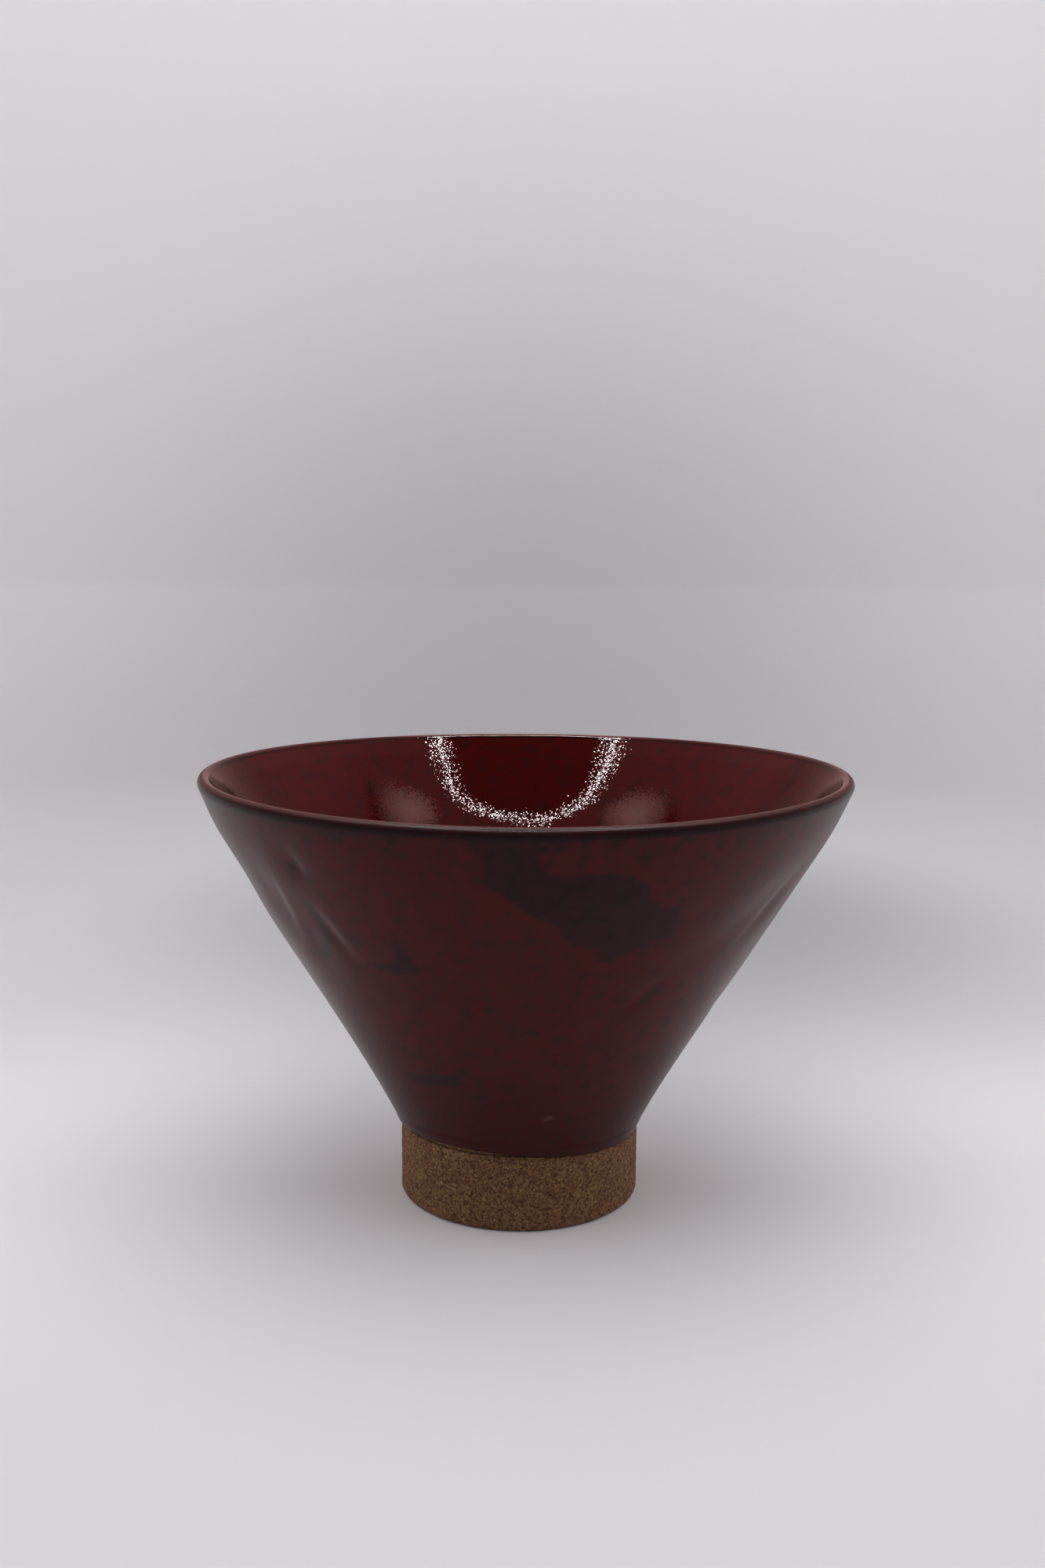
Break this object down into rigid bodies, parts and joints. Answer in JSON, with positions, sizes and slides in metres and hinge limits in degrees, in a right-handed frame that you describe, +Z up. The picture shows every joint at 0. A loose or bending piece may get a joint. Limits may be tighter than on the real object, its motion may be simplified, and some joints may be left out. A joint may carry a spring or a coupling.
{
  "type": "pedestal bowl",
  "caption": "Hand-thrown conical stoneware bowl on a low straight collar foot, glazed deep iron red inside and out above bare grogged clay.",
  "frame": {"origin": "middle of the foot's resting ring, on the surface that the bowl stands on", "axes": "+Z up along the foot's axis, -Y the side that the picture shows, +X to its right"},
  "size_m": [0.1498, 0.15, 0.1014],
  "materials": {
    "bare_stoneware": "bare coarse grogged brown stoneware, matt and gritty",
    "slip": "fired joining slip, matt",
    "iron_red_glaze": "satin iron red glaze that breaks dark brown where it is thin",
    "iron_red_lining": "glossy iron red glaze with a fine orange-peel surface"
  },
  "bodies": {
    "root": {"foot_ring": "bare_stoneware", "luting_slip": "slip", "bowl_body": "bare_stoneware", "outer_glaze": "iron_red_glaze", "lining_glaze": "iron_red_lining"}
  },
  "joints": []
}
